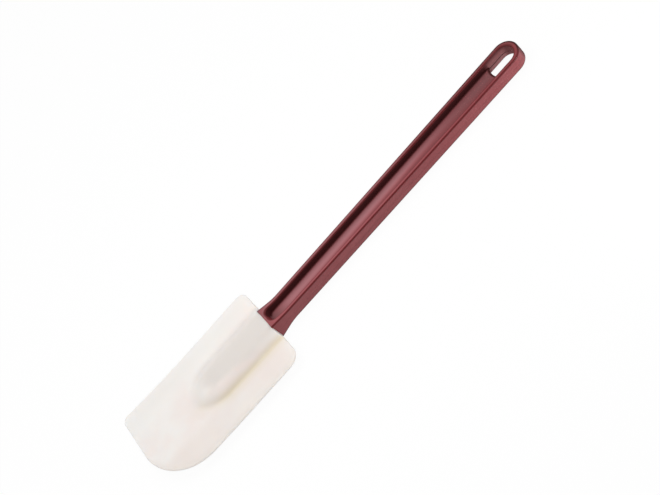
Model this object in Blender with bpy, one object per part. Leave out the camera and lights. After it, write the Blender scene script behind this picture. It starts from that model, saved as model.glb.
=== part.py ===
"""Plate scraper: a moulded handle whose tongue is locked inside a soft silicone blade.

Two pieces. The handle is one stiff moulding: a straight I-section grip with a pocket in its
front and back faces, a hanging slot through its far end, a neck that flares towards the blade,
and a flat tongue with two holes that reaches into the blade. The blade is one soft moulding:
a thin plate with a raised boss round the tongue, a socket in the boss and two posts that pass
through the tongue's holes, so that it can't pull off.

Units are metres, +Z is up. The scraper lies on its back, +X runs from the blade towards the
handle's tip. Inside the file X = 0 is the blade's end face, where the handle comes out of it,
and Z = 0 is the middle of the thickness. An empty puts the pieces in their place from there.
Right is the -Y side, with the blade's large round corner, and left is the +Y side.
"""
import math

import bmesh
import bpy

MM = 0.001

# Overall reach to each side of the blade's end face
BLADE_LENGTH = 114.6 * MM
HANDLE_REACH = 228.6 * MM

# Fit between the two pieces
CLEARANCE = 0.3 * MM
SEAT_DEPTH = 0.8 * MM

# Handle: grip
GRIP_THICKNESS = 9.9 * MM
GRIP_WIDTH_AT_NECK = 17.0 * MM
GRIP_WIDTH_AT_TIP = 19.7 * MM
EDGE_ROUND = 0.7 * MM
SEAM_DROP = 0.8 * MM
SIDE_DRAFT = 0.12 * MM

# Handle: neck, which flares from the grip to the blade
NECK_WIDTH = 18.9 * MM
NECK_THICKNESS = 13.6 * MM
FLARE_LENGTH = 15.4 * MM
FLARE_STRAIGHT = 7.1 * MM

# Handle: pockets in both faces, and the web between their floors
RIM_WIDTH_AT_NECK = 2.9 * MM
RIM_WIDTH_AT_TIP = 2.95 * MM
TIP_WALL = 3.7 * MM
LIP_ROUND = 0.35 * MM
POCKET_START = 1.1 * MM
POCKET_CORNER = 3.0 * MM
POCKET_DRAFT = 0.5 * MM
POCKET_END_DRAFT = 1.4 * MM
WEB_THICKNESS = 1.6 * MM

# Handle: hanging slot, which takes the web away beyond a hollow arc
SLOT_LENGTH = 19.7 * MM
SLOT_ARC_DEPTH = 2.2 * MM

# Handle: tongue inside the blade
TONGUE_LENGTH = 50.0 * MM
TONGUE_WIDTH_AT_ROOT = 15.0 * MM
TONGUE_WIDTH_AT_END = 11.0 * MM
TONGUE_THICKNESS_AT_ROOT = 6.8 * MM
TONGUE_THICKNESS_AT_END = 4.4 * MM
TONGUE_NOSE = 5.0 * MM
TONGUE_NOSE_WIDTH_SHARE = 0.35
TONGUE_NOSE_THICKNESS_SHARE = 0.5
TONGUE_ROOT_OVERLAP = 1.0 * MM
TONGUE_SQUARENESS = 3.5
LOCK_HOLE_RADIUS = 2.2 * MM
LOCK_HOLE_FIRST = 18.0 * MM
LOCK_HOLE_LAST = 14.0 * MM
LOCK_HOLE_COUNT = 2

# Blade: plate
BLADE_WIDTH = 73.4 * MM
BLADE_EDGE_ROUND = 0.4 * MM
BLADE_EDGE_THICKNESS = 1.4 * MM
BLADE_ROOT_THICKNESS = 3.8 * MM
SIDE_TAPER = 22.5 * MM
FAR_TAPER = 34.0 * MM
FAR_END_SLANT = 1.35 * MM
CURL_RISE = 2.7 * MM
NEAR_LEFT_RADIUS = 6.0 * MM
NEAR_RIGHT_RADIUS = 9.3 * MM
FAR_LEFT_RADIUS = 5.0 * MM
FAR_RIGHT_RADIUS = 36.5 * MM

# Blade: boss round the tongue, the same on both faces
BOSS_ABOVE_NECK = 0.2 * MM
BOSS_WIDTH = 33.0 * MM
BOSS_LAND_WIDTH = 13.0 * MM
BOSS_END_WALL = 5.8 * MM
BOSS_NOSE = 24.5 * MM
BOSS_FLANK_POWER = 1.6
BOSS_MOUTH_ROUND = 1.1 * MM

# How finely round shapes are cut into faces
GRIP_STEPS = 4
TIP_STEPS = 18
CORNER_STEPS = 5
EDGE_STEPS = 2
ARC_STEPS = 8
TONGUE_SIDES = 20
NOSE_STEPS = 4
NEAR_STEPS = 5
FAR_STEPS = 11
MIDDLE_STEPS = 5
PLATE_COLUMNS = 14
BOSS_STEPS = 18
BOSS_LEVELS = 7


def clear_scene():
    """Removes whatever the file starts with."""
    for obj in list(bpy.context.scene.objects):
        bpy.data.objects.remove(obj, do_unlink=True)


def plastic(name, color, roughness):
    """A plain Principled BSDF of one colour."""
    material = bpy.data.materials.new(name)
    material.use_nodes = True
    shader = material.node_tree.nodes["Principled BSDF"]
    shader.inputs["Base Color"].default_value = (*color, 1.0)
    shader.inputs["Roughness"].default_value = roughness
    shader.inputs["Metallic"].default_value = 0.0
    return material


def finished_object(name, mesh_builder, material, parent):
    """Turns a bmesh into a smooth-shaded object under the parent empty."""
    bmesh.ops.recalc_face_normals(mesh_builder, faces=mesh_builder.faces)
    mesh = bpy.data.meshes.new(name)
    mesh_builder.to_mesh(mesh)
    mesh_builder.free()
    mesh.shade_smooth()
    mesh.set_sharp_from_angle(angle=math.radians(35))
    mesh.materials.append(material)
    obj = bpy.data.objects.new(name, mesh)
    bpy.context.collection.objects.link(obj)
    obj.parent = parent
    return obj


def as_tool(obj):
    """Marks an object as one that others are only cut or joined with."""
    obj.hide_render = True
    obj.display_type = "WIRE"
    return obj


def combine(obj, operation, tool):
    """Adds an exact boolean with the tool."""
    modifier = obj.modifiers.new(f"{operation.lower()} {tool.name}", "BOOLEAN")
    modifier.operation = operation
    modifier.object = tool
    modifier.solver = "EXACT"


def blend(low, high, share):
    """The value a share of the way from low to high."""
    return low + (high - low) * share


def ring(mesh_builder, points):
    """One loop of vertices."""
    return [mesh_builder.verts.new(point) for point in points]


def bridge(mesh_builder, first, second):
    """Quads between two closed rings of the same length."""
    count = len(first)
    for i in range(count):
        j = (i + 1) % count
        mesh_builder.faces.new((first[i], first[j], second[j], second[i]))


def loft(mesh_builder, rings):
    """A closed skin through rings of the same length, capped at both ends."""
    for first, second in zip(rings, rings[1:]):
        bridge(mesh_builder, first, second)
    mesh_builder.faces.new(rings[0])
    mesh_builder.faces.new(rings[-1])


# Handle


def flare(x):
    """Share of the neck's flare at x: straight at first, then curved into the grip."""
    curve = FLARE_LENGTH - FLARE_STRAIGHT
    straight_foot = FLARE_LENGTH - curve / 2
    if x >= FLARE_LENGTH:
        return 0.0
    if x >= FLARE_STRAIGHT:
        return (FLARE_LENGTH - x) ** 2 / (2 * curve) / straight_foot
    return (straight_foot - x) / straight_foot


def tip_centre():
    """X of the centre of the handle's round tip."""
    return HANDLE_REACH - GRIP_WIDTH_AT_TIP / 2


def grip_half_width(x):
    """Half the handle's width at x, flare included."""
    grip = blend(GRIP_WIDTH_AT_NECK, GRIP_WIDTH_AT_TIP, x / tip_centre())
    return (grip + (NECK_WIDTH - GRIP_WIDTH_AT_NECK) * flare(x)) / 2


def grip_half_thickness(x):
    """Half the handle's thickness at x, flare included."""
    return blend(GRIP_THICKNESS, NECK_THICKNESS, flare(x)) / 2


def pocket_half_width(x):
    """Half the pocket's width at its mouth. It runs straight on through the flare."""
    at_neck = GRIP_WIDTH_AT_NECK / 2 - RIM_WIDTH_AT_NECK
    at_tip = GRIP_WIDTH_AT_TIP / 2 - RIM_WIDTH_AT_TIP
    return blend(at_neck, at_tip, x / tip_centre())


def slot_corner():
    """Where the hollow arc at the web's end meets the pocket's side walls."""
    return HANDLE_REACH - TIP_WALL - SLOT_LENGTH + SLOT_ARC_DEPTH


def side_stations():
    """The X positions of the points along the handle's sides."""
    first = POCKET_START + POCKET_CORNER + POCKET_END_DRAFT
    curve = [blend(FLARE_STRAIGHT, FLARE_LENGTH, i / 4) for i in range(4)]
    grip = [blend(FLARE_LENGTH, slot_corner(), i / GRIP_STEPS) for i in range(GRIP_STEPS + 1)]
    return [first] + [x for x in curve if x > first] + grip


def with_sides(near_end, half_width, centre, tip_radius):
    """A plan loop from the middle of its near end: right side, round tip, left side and back."""
    sides = [(x, half_width(x)) for x in side_stations()]
    points = [(x, -y) for x, y in near_end] + [(x, -y) for x, y in sides]
    for i in range(TIP_STEPS + 1):
        angle = math.pi * (i / TIP_STEPS - 0.5)
        points.append((centre + tip_radius * math.cos(angle), tip_radius * math.sin(angle)))
    return points + sides[::-1] + near_end[:0:-1]


def outer_loop(inset):
    """The handle's outline, drawn in by inset at its sides and tip."""
    half = grip_half_width(-SEAT_DEPTH) - inset
    near_end = [(-SEAT_DEPTH, half * i / CORNER_STEPS) for i in range(CORNER_STEPS + 1)]
    tip_radius = GRIP_WIDTH_AT_TIP / 2 - inset
    return with_sides(near_end, lambda x: grip_half_width(x) - inset, tip_centre(), tip_radius)


def pocket_loop(inset, end_inset):
    """A pocket's outline, point by point beside the outer loop, drawn in by inset."""
    start = POCKET_START + end_inset
    half = pocket_half_width(start) - inset
    corner = POCKET_CORNER - inset
    near_end = [(start, 0.0)]
    for i in range(CORNER_STEPS):
        angle = math.pi / 2 * i / (CORNER_STEPS - 1)
        near_end.append((start + corner * (1 - math.cos(angle)), half - corner * (1 - math.sin(angle))))
    mouth_radius = pocket_half_width(tip_centre())
    centre = HANDLE_REACH - TIP_WALL - mouth_radius
    return with_sides(near_end, lambda x: pocket_half_width(x) - inset, centre, mouth_radius - inset)


def half_section(mesh_builder, side):
    """Rings of one face of the handle: side wall, rounded edge, rim, rounded lip, pocket wall."""
    rings = []
    for i in range(EDGE_STEPS + 1):
        angle = math.pi / 2 * i / EDGE_STEPS
        inset = SIDE_DRAFT + EDGE_ROUND * (1 - math.cos(angle))
        drop = EDGE_ROUND * (1 - math.sin(angle))
        loop = outer_loop(inset)
        rings.append([(x, y, side * (grip_half_thickness(x) - drop)) for x, y in loop])
    mouth = pocket_loop(-LIP_ROUND, -LIP_ROUND)
    rings.append([(x, y, side * grip_half_thickness(x)) for x, y in mouth])
    lip = pocket_loop(0.0, 0.0)
    rings.append([(x, y, side * (grip_half_thickness(x) - LIP_ROUND)) for x, y in lip])
    floor = pocket_loop(POCKET_DRAFT, POCKET_END_DRAFT)
    rings.append([(x, y, side * WEB_THICKNESS / 2) for x, y in floor])
    return [ring(mesh_builder, points) for points in rings]


def web_face(mesh_builder, floor):
    """Closes a pocket's floor as far as the hollow arc before the slot, and returns the arc."""
    first = CORNER_STEPS + 1
    last = first + len(side_stations()) - 1
    count = len(floor)
    mesh_builder.faces.new(floor[:first + 1] + floor[count - first:])
    for i in range(first, last - 1):
        mesh_builder.faces.new((floor[i], floor[i + 1], floor[count - i - 1], floor[count - i]))
    right, left = floor[last], floor[count - last]
    half = left.co.y
    radius = (half ** 2 + SLOT_ARC_DEPTH ** 2) / (2 * SLOT_ARC_DEPTH)
    centre = right.co.x - SLOT_ARC_DEPTH + radius
    opening = math.asin(half / radius)
    arc = [right]
    for i in range(1, ARC_STEPS):
        angle = opening * (2 * i / ARC_STEPS - 1)
        point = (centre - radius * math.cos(angle), radius * math.sin(angle), right.co.z)
        arc.append(mesh_builder.verts.new(point))
    arc.append(left)
    mesh_builder.faces.new([floor[last - 1]] + arc + [floor[count - last + 1]])
    return arc


def slot_walls(mesh_builder, back_floor, front_floor, back_arc, front_arc):
    """The walls that join the two faces in the slot: the web's end and the pocket's sides."""
    for i in range(ARC_STEPS):
        mesh_builder.faces.new((back_arc[i], back_arc[i + 1], front_arc[i + 1], front_arc[i]))
    last = CORNER_STEPS + len(side_stations())
    for i in range(last, len(back_floor) - last):
        mesh_builder.faces.new((back_floor[i], back_floor[i + 1], front_floor[i + 1], front_floor[i]))


def superellipse(half_width, half_thickness):
    """Points (y, z) round a rounded oblong."""
    points = []
    power = 2 / TONGUE_SQUARENESS
    for i in range(TONGUE_SIDES):
        angle = 2 * math.pi * i / TONGUE_SIDES
        y = math.copysign(abs(math.cos(angle)) ** power, math.cos(angle))
        z = math.copysign(abs(math.sin(angle)) ** power, math.sin(angle))
        points.append((half_width * y, half_thickness * z))
    return points


def tongue_mesh(grow, start):
    """The tongue as a loft along X. Grown by the clearance it is the blade's socket."""
    mesh_builder = bmesh.new()
    nose_start = TONGUE_LENGTH - TONGUE_NOSE
    nose_angles = [math.pi / 2 * (i + 1) / NOSE_STEPS for i in range(NOSE_STEPS)]
    stations = [(start, 1.0, 0.0), (0.0, 1.0, 0.0), (nose_start, 1.0, 0.0)]
    stations += [(nose_start + TONGUE_NOSE * math.sin(a), math.cos(a), grow) for a in nose_angles]
    rings = []
    for depth, fullness, stretch in stations:
        share = max(0.0, depth) / TONGUE_LENGTH
        half_width = blend(TONGUE_WIDTH_AT_ROOT, TONGUE_WIDTH_AT_END, share) / 2
        half_thickness = blend(TONGUE_THICKNESS_AT_ROOT, TONGUE_THICKNESS_AT_END, share) / 2
        half_width = half_width * blend(TONGUE_NOSE_WIDTH_SHARE, 1.0, fullness) + grow
        half_thickness = half_thickness * blend(TONGUE_NOSE_THICKNESS_SHARE, 1.0, fullness) + grow
        x = -SEAT_DEPTH - depth - stretch
        rings.append(ring(mesh_builder, [(x, y, z) for y, z in superellipse(half_width, half_thickness)]))
    loft(mesh_builder, rings)
    return mesh_builder


def lock_pins(name, radius, material, parent):
    """Upright round bars at the tongue's lock holes."""
    mesh_builder = bmesh.new()
    spread = TONGUE_LENGTH - LOCK_HOLE_FIRST - LOCK_HOLE_LAST
    for i in range(LOCK_HOLE_COUNT):
        x = -SEAT_DEPTH - LOCK_HOLE_FIRST - spread * i / (LOCK_HOLE_COUNT - 1)
        rings = []
        for z in (-TONGUE_THICKNESS_AT_ROOT, TONGUE_THICKNESS_AT_ROOT):
            angles = [2 * math.pi * (k + 0.5) / TONGUE_SIDES for k in range(TONGUE_SIDES)]
            circle = [(x + radius * math.cos(a), radius * math.sin(a), z) for a in angles]
            rings.append(ring(mesh_builder, circle))
        loft(mesh_builder, rings)
    return as_tool(finished_object(name, mesh_builder, material, parent))


def build_handle(parent):
    """Grip, neck and tongue, moulded as one."""
    nylon = plastic("maroon_nylon", (0.225, 0.055, 0.06), 0.42)
    mesh_builder = bmesh.new()
    back = half_section(mesh_builder, -1)
    front = half_section(mesh_builder, 1)
    seam = ring(mesh_builder, [(x, y, -SEAM_DROP) for x, y in outer_loop(0.0)])
    rings = back[::-1] + [seam] + front
    for first, second in zip(rings, rings[1:]):
        bridge(mesh_builder, first, second)
    back_arc = web_face(mesh_builder, back[-1])
    front_arc = web_face(mesh_builder, front[-1])
    slot_walls(mesh_builder, back[-1], front[-1], back_arc, front_arc)
    handle = finished_object("handle", mesh_builder, nylon, parent)
    tongue = as_tool(finished_object("tongue_body", tongue_mesh(0.0, -TONGUE_ROOT_OVERLAP), nylon, parent))
    holes = lock_pins("lock_hole_cutter", LOCK_HOLE_RADIUS, nylon, parent)
    combine(handle, "UNION", tongue)
    combine(handle, "DIFFERENCE", holes)
    return handle


# Blade


def boss_half_thickness():
    """Half the boss's thickness: its lands lie just above the neck's faces."""
    return grip_half_thickness(-SEAT_DEPTH) + BOSS_ABOVE_NECK


def boss_land_share():
    """The flat land's share of the boss's width and of its nose."""
    return BOSS_LAND_WIDTH / BOSS_WIDTH


def boss_straight():
    """How far the boss runs straight, so that its land ends one wall beyond the tongue."""
    return SEAT_DEPTH + TONGUE_LENGTH + BOSS_END_WALL - BOSS_NOSE * boss_land_share()


def corner_cut(distance, radius):
    """How far a rounded corner still draws the side in, at a distance from the end."""
    if distance >= radius:
        return 0.0
    return radius - math.sqrt(radius ** 2 - (radius - distance) ** 2)


def corner_distances(radius, steps):
    """Distances from an end at which a rounded corner gets its points."""
    return [radius * (1 - math.cos(math.pi / 2 * i / steps)) for i in range(steps + 1)]


def plate_rows(inset):
    """Rows (x, right y, left y) of the plate's outline drawn in by inset, closest where corners turn."""
    near_right, near_left = NEAR_RIGHT_RADIUS - inset, NEAR_LEFT_RADIUS - inset
    far_right, far_left = FAR_RIGHT_RADIUS - inset, FAR_LEFT_RADIUS - inset
    length = BLADE_LENGTH - 2 * inset
    half = BLADE_WIDTH / 2 - inset
    near = corner_distances(near_right, NEAR_STEPS)
    far = [length - distance for distance in reversed(corner_distances(far_right, FAR_STEPS))]
    middle = [blend(near[-1], far[0], i / MIDDLE_STEPS) for i in range(1, MIDDLE_STEPS)]
    rows = []
    for from_near in near + middle + far:
        from_far = length - from_near
        right = half - corner_cut(from_near, near_right) - corner_cut(from_far, far_right)
        left = half - corner_cut(from_near, near_left) - corner_cut(from_far, far_left)
        rows.append((-inset - from_near, -right, left))
    return rows


def plate_plan(row, column):
    """Plan position in a row at a share of its width, with the far end slanting back on the left."""
    x, right, left = row
    return x - FAR_END_SLANT * column * x / BLADE_LENGTH, blend(right, left, column)


def plate_middle(x):
    """Height of the plate's mid-plane: flat beside the boss, then curled up towards the far end."""
    beyond = max(0.0, -x - boss_straight()) / (BLADE_LENGTH - boss_straight())
    return CURL_RISE * beyond ** 2


def plate_half_thickness(row, y):
    """Thick round the boss, thin at the sides and at the far end."""
    x, right, left = row
    to_side = min(1.0, min(y - right, left - y) / SIDE_TAPER)
    to_end = min(1.0, (BLADE_LENGTH + x) / FAR_TAPER)
    share = math.sin(math.pi / 2 * to_side) * math.sin(math.pi / 2 * to_end)
    return blend(BLADE_EDGE_THICKNESS, BLADE_ROOT_THICKNESS, share) / 2


def around(rows):
    """The outer loop of a grid of points: right side, far end, left side, near end."""
    right_side = [row[0] for row in rows]
    left_side = [row[-1] for row in reversed(rows)]
    return right_side + rows[-1][1:-1] + left_side + rows[0][-2:0:-1]


def plate_mesh():
    """The blade's thin plate: a grid on each face and a rounded edge between them."""
    mesh_builder = bmesh.new()
    columns = [i / PLATE_COLUMNS for i in range(PLATE_COLUMNS + 1)]
    grids = []
    for side in (-1, 1):
        grid = []
        for row in plate_rows(BLADE_EDGE_ROUND):
            points = []
            for column in columns:
                x, y = plate_plan(row, column)
                z = plate_middle(row[0]) + side * plate_half_thickness(row, y)
                points.append((x, y, z))
            grid.append(ring(mesh_builder, points))
        grids.append(grid)
    for grid in grids:
        for first, second in zip(grid, grid[1:]):
            for i in range(PLATE_COLUMNS):
                mesh_builder.faces.new((first[i], first[i + 1], second[i + 1], second[i]))
    widest = []
    for row in plate_rows(0.0):
        widest.append([(*plate_plan(row, column), plate_middle(row[0])) for column in columns])
    edge = ring(mesh_builder, around(widest))
    bridge(mesh_builder, around(grids[0]), edge)
    bridge(mesh_builder, edge, around(grids[1]))
    return mesh_builder


def boss_ring(level, side):
    """One loop round the boss, from level 0 at its centre line to 1 at its foot in the mid-plane."""
    top = boss_half_thickness()
    beyond_land = (level - boss_land_share()) / (1 - boss_land_share())
    height = top * (1 - beyond_land ** BOSS_FLANK_POWER)
    mouth = -max(0.0, BOSS_MOUTH_ROUND - (top - height))
    half = BOSS_WIDTH / 2 * level
    left = [(mouth, half - BOSS_MOUTH_ROUND), (mouth - BOSS_MOUTH_ROUND, half)]
    for i in range(BOSS_STEPS // 2):
        angle = math.pi * i / BOSS_STEPS
        left.append((-boss_straight() - BOSS_NOSE * level * math.sin(angle), half * math.cos(angle)))
    end = (-boss_straight() - BOSS_NOSE * level, 0.0)
    right = [(x, -y) for x, y in left]
    return [(x, y, side * height) for x, y in right + [end] + left[::-1]]


def boss_mesh():
    """The boss as loops from its back land over its foot to its front land."""
    mesh_builder = bmesh.new()
    levels = [blend(boss_land_share(), 1.0, i / BOSS_LEVELS) for i in range(BOSS_LEVELS + 1)]
    rings = [ring(mesh_builder, boss_ring(level, -1)) for level in levels]
    rings += [ring(mesh_builder, boss_ring(level, 1)) for level in levels[-2::-1]]
    loft(mesh_builder, rings)
    return mesh_builder


def seat_mesh():
    """The shallow seat for the neck's end, open at the blade's end face and above the boss."""
    mesh_builder = bmesh.new()
    rings = []
    for x in (-SEAT_DEPTH - CLEARANCE, SEAT_DEPTH):
        y = grip_half_width(x) + CLEARANCE
        z = grip_half_thickness(x) + CLEARANCE
        rings.append(ring(mesh_builder, [(x, -y, -z), (x, y, -z), (x, y, z), (x, -y, z)]))
    loft(mesh_builder, rings)
    return mesh_builder


def build_blade(parent):
    """Plate and boss as one body, cut out for the neck's end and the tongue."""
    silicone = plastic("ivory_silicone", (0.87, 0.83, 0.77), 0.5)
    blade = finished_object("blade", plate_mesh(), silicone, parent)
    boss = as_tool(finished_object("boss_body", boss_mesh(), silicone, parent))
    socket = as_tool(finished_object("socket_cutter", tongue_mesh(CLEARANCE, -SEAT_DEPTH / 2), silicone, parent))
    posts = lock_pins("lock_post_guide", LOCK_HOLE_RADIUS - CLEARANCE, silicone, parent)
    seat = as_tool(finished_object("neck_seat_cutter", seat_mesh(), silicone, parent))
    combine(socket, "DIFFERENCE", posts)
    combine(blade, "UNION", boss)
    combine(blade, "DIFFERENCE", socket)
    combine(blade, "DIFFERENCE", seat)
    return blade


def main():
    """Builds both pieces, centred along X and Y, with the boss's back land on the ground."""
    clear_scene()
    frame = bpy.data.objects.new("scraper_frame", None)
    bpy.context.collection.objects.link(frame)
    frame.location = ((BLADE_LENGTH - HANDLE_REACH) / 2, 0.0, boss_half_thickness())
    build_handle(frame)
    build_blade(frame)


main()
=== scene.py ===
"""Dresses the plate scraper on its measured frame: a satin nylon handle and a soft silicone blade."""

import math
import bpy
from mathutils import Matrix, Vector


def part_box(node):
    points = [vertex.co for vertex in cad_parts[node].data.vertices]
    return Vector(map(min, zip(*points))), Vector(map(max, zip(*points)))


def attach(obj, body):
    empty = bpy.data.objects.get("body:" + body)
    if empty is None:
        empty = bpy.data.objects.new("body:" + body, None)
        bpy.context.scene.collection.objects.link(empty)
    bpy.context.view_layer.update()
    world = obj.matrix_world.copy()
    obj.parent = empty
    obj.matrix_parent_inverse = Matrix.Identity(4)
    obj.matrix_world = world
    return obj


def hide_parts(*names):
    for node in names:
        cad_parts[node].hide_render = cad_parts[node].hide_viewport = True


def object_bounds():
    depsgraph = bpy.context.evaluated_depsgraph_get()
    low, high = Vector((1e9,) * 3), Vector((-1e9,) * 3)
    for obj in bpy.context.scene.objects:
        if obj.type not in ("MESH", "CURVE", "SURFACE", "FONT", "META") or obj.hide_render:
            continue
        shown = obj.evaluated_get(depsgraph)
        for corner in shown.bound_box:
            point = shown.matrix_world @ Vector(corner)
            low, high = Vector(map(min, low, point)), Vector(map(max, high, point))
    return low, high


bl_info = {
    "name": "Plate Scraper",
    "version": (1, 0, 0),
    "blender": (4, 5, 0),
    "location": "3D View > Sidebar > Scraper",
    "description": "Builds a kitchen plate scraper and its studio on a measured frame",
    "category": "Add Mesh",
}

from typing import NamedTuple

import bmesh
import bpy
from mathutils import Matrix, Vector

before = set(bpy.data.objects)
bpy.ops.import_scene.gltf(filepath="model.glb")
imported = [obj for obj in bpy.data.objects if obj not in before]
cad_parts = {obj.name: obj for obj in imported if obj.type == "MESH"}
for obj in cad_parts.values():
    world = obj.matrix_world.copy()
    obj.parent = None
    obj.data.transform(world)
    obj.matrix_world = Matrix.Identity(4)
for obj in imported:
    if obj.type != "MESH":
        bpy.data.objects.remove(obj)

MM = 0.001
CAD_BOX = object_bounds()
BLADE_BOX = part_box("blade")
HANDLE_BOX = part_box("handle")

# Every shape is made with X = 0 at the blade's end face and Z = 0 in the middle of the thickness
PLACE = Vector((BLADE_BOX[1][0], 0.0, (CAD_BOX[0][2] + CAD_BOX[1][2]) / 2))


# Sizes and colours that a user would change


def size(name, description, default):
    """A length in metres."""
    return bpy.props.FloatProperty(name=name, description=description, default=default, unit="LENGTH")


def tint(name, description, default):
    """A colour."""
    return bpy.props.FloatVectorProperty(
        name=name, description=description, default=default, subtype="COLOR", size=3, min=0.0, max=1.0)


class HandleSettings(bpy.types.PropertyGroup):
    reach: size("Reach", "From the blade's end face to the handle's tip", HANDLE_BOX[1][0] - PLACE.x)
    grip_thickness: size("Grip Thickness", "Thickness of the straight grip", 9.9 * MM)
    width_at_neck: size("Width at Neck", "Width of the straight grip where the flare starts", 17.0 * MM)
    width_at_tip: size("Width at Tip", "Width of the grip where the round tip starts", 19.7 * MM)
    neck_width: size("Neck Width", "Width of the neck at the blade", 18.9 * MM)
    neck_thickness: size("Neck Thickness", "Thickness of the neck at the blade", 13.6 * MM)
    flare_length: size("Flare Length", "How far the neck's flare reaches", 15.4 * MM)
    flare_straight: size("Flare Straight", "How much of the flare is straight", 7.1 * MM)
    seat_depth: size("Seat Depth", "How far the neck's end stands in the blade", 0.8 * MM)
    edge_round: size("Edge Round", "Radius of the outer edges", 0.7 * MM)
    side_draft: size("Side Draft", "How far the sides lean in towards the faces", 0.04 * MM)
    seam_drop: size("Seam Drop", "How far the parting line lies below the middle", 0.8 * MM)
    bead_radius: size("Parting Line Radius", "Radius of the fine bead that the mould left", 0.11 * MM)
    rim_at_neck: size("Rim at Neck", "Width of the rim beside the pocket at the neck", 2.9 * MM)
    rim_at_tip: size("Rim at Tip", "Width of the rim beside the pocket at the tip", 2.95 * MM)
    tip_wall: size("Tip Wall", "Wall beyond the hanging slot", 3.7 * MM)
    lip_round: size("Lip Round", "Radius of the pocket's upper edge", 0.35 * MM)
    pocket_start: size("Pocket Start", "Where the pocket begins", 1.4 * MM)
    pocket_corner: size("Pocket Corner", "Radius of the pocket's corners at the neck", 3.7 * MM)
    pocket_draft: size("Pocket Draft", "How far the pocket's side walls lean in", 0.5 * MM)
    pocket_end_draft: size("Pocket End Draft", "How far the pocket's end wall leans in", 1.4 * MM)
    floor_fillet: size("Floor Fillet", "Radius at the foot of the pocket's walls", 0.9 * MM)
    web_thickness: size("Web Thickness", "Thickness of the web between the pockets", 1.6 * MM)
    web_end_round: size("Web End Round", "How far the web's end is rounded off", 1.2 * MM)
    slot_length: size("Slot Length", "Length of the hanging slot", 19.7 * MM)
    slot_arc_depth: size("Slot Arc Depth", "How far the web's end is hollowed", 2.2 * MM)
    tongue_length: size("Tongue Length", "How far the tongue reaches into the blade", 50.0 * MM)
    tongue_width: size("Tongue Width", "Width of the tongue at its end", 11.0 * MM)
    tongue_thickness: size("Tongue Thickness", "Thickness of the tongue at its end", 4.4 * MM)
    nylon_color: tint("Nylon", "Body colour of the handle", (0.286, 0.043, 0.051))
    rubbed_color: tint(
        "Rubbed Nylon", "Colour of the rubbed patches and faint scratches", (0.37, 0.095, 0.102))
    # Painted sheen on the pocket's floor and the rims near the neck, and painted bounce light on the slot's
    # walls
    painted_sheen_color: tint(
        "Painted Sheen", "Colour of the faint dusty bloom in the pocket and the slot", (0.40, 0.16, 0.175))
    # Painted shade: the floor dimmer by its left wall, along its right side, towards the tip and by the
    # blade, and the rims dimmer along the left and by the blade
    dim_shade_color: tint(
        "Dim Shade", "Colour of the dulled parts of the pocket and the walls", (0.15, 0.062, 0.066))
    # Painted bounce light on the slot's walls, lighter and redder where light comes up through the slot
    slot_light_color: tint("Slot", "Colour of the slot's worn walls", (0.49, 0.175, 0.18))
    # Darker streaks, and painted shade along the edges, on the rims towards the tip and along the floor's
    # right side
    streak_and_edge_shade_color: tint("Edge", "Colour along the edges", (0.12, 0.0, 0.002))
    # Painted shade in the pocket's corners and on its walls, in the slot under its lip and at its end,
    # along the left side, over the tip's end and along the parting line
    deep_shade_color: tint("Deep Shade", "Colour in the corners", (0.038, 0.0, 0.0))


class BladeSettings(bpy.types.PropertyGroup):
    length: size("Length", "Length of the blade on its right side", PLACE.x - BLADE_BOX[0][0])
    width: size("Width", "Width of the blade", BLADE_BOX[1][1] - BLADE_BOX[0][1])
    near_right_radius: size("Near Right Radius", "Corner radius beside the neck, right", 9.3 * MM)
    near_left_radius: size("Near Left Radius", "Corner radius beside the neck, left", 6.0 * MM)
    far_right_radius: size("Far Right Radius", "Radius of the large round corner", 36.5 * MM)
    far_left_radius: size("Far Left Radius", "Radius of the nearly square corner", 5.0 * MM)
    far_slant: size("Far Slant", "How much shorter the blade is on its left side", 1.35 * MM)
    curl: size("Curl", "How far the far end curls up", 2.7 * MM)
    edge_thickness: size("Edge Thickness", "Thickness of the plate at its edges", 1.4 * MM)
    root_thickness: size("Root Thickness", "Thickness of the plate beside the boss", 3.8 * MM)
    side_taper: size("Side Taper", "How far from the sides the plate gets its full thickness", 22.5 * MM)
    far_taper: size("Far Taper", "How far from the far end the plate gets its full thickness", 34.0 * MM)
    boss_thickness: size("Boss Thickness", "Thickness over both lands", CAD_BOX[1][2] - CAD_BOX[0][2])
    boss_width: size("Boss Width", "Width of the boss at its foot", 33.0 * MM)
    land_width: size("Land Width", "Width of the boss's flat land", 13.0 * MM)
    boss_straight: size("Boss Straight", "How far the boss runs straight", 46.95 * MM)
    boss_nose: size("Boss Nose", "Length of the boss's round nose", 24.5 * MM)
    crease_round_right: size(
        "Crease Round Right", "How softly the boss runs into the plate on its right side", 1.4 * MM)
    crease_round_left: size(
        "Crease Round Left", "How softly the boss runs into the plate on its left side", 5.0 * MM)
    mouth_round: size("Mouth Round", "Radius of the edges at the blade's near end", 0.85 * MM)
    notch_width: size("Notch Width", "Width of the hollow that the neck stands in", 24.0 * MM)
    notch_fade: size("Notch Fade", "How softly the hollow runs out to each side", 3.6 * MM)
    notch_depth: size("Notch Depth", "Depth of the hollow under the neck's faces", 0.38 * MM)
    notch_side_depth: size("Notch Side Depth", "Depth of the hollow beside the neck", 0.78 * MM)
    silicone_color: tint("Silicone", "Colour of the thin plate", (0.865, 0.84, 0.81))
    flushed_color: tint(
        "Flushed Silicone", "Colour of the faint warm clouds in the plate", (0.845, 0.77, 0.74))
    thick_color: tint("Thick Silicone", "Colour where the silicone is thick", (0.86, 0.81, 0.745))
    shaded_color: tint("Shaded Silicone", "Colour over the dark tongue", (0.70, 0.66, 0.63))
    # Painted warm shade in the corner at the boss's right foot
    crease_shade_color: tint("Crease", "Colour in the corner beside the boss", (0.745, 0.67, 0.54))
    # Painted shade over the plate's right side, most along its right edge
    right_side_shade_color: tint("Right Side Shade", "Colour along the plate's thin edges", (0.785, 0.72, 0.68))


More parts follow.
